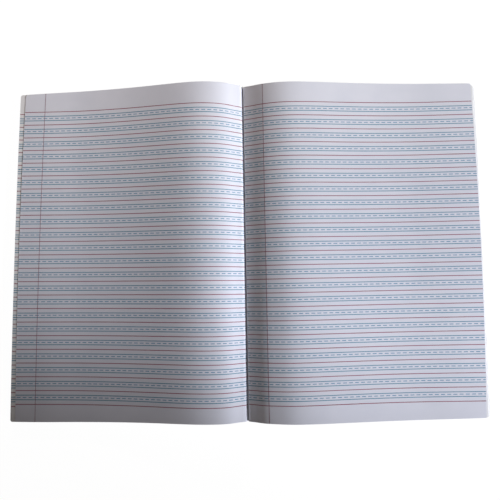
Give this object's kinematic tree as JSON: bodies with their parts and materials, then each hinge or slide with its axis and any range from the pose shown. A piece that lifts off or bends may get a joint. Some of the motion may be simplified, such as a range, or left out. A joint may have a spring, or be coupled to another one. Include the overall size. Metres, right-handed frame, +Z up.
{
  "type": "open composition notebook",
  "caption": "Composition notebook lying open, its leaves arched from the fold and ruled in red and blue for handwriting, with card covers and a cloth tape spine.",
  "frame": {"origin": "on the table under the middle of the fold", "axes": "+X across the spread to the right-hand page, +Y up the page to its head, +Z up from the table"},
  "size_m": [0.35, 0.248, 0.0155],
  "materials": {
    "paper": "matte, uncoated writing paper",
    "cover_card": "plain dark card with a fine grain",
    "spine_cloth": "black bookbinding cloth tape",
    "thread": "twisted cotton thread",
    "red_ink": "printed rule",
    "blue_ink": "printed rule",
    "margin_ink": "printed rule"
  },
  "bodies": {
    "leaves": {"pages": "paper", "spine_tape": "spine_cloth", "sewing_thread": "thread", "red_rules": "red_ink", "blue_rules": "blue_ink", "margin_rules": "margin_ink"},
    "front_cover": {"front_cover": "cover_card"},
    "back_cover": {"back_cover": "cover_card"}
  },
  "joints": [
    {"name": "front_cover_hinge", "type": "hinge", "parent": "leaves", "child": "front_cover", "pos_m": [-0.0015, 0, 0.00015], "axis": [0, -1, 0], "range_deg": [0, 90], "deforming": ["spine_tape"]},
    {"name": "back_cover_hinge", "type": "hinge", "parent": "leaves", "child": "back_cover", "pos_m": [0.0015, 0, 0.00015], "axis": [0, 1, 0], "range_deg": [0, 90], "deforming": ["spine_tape"]}
  ]
}
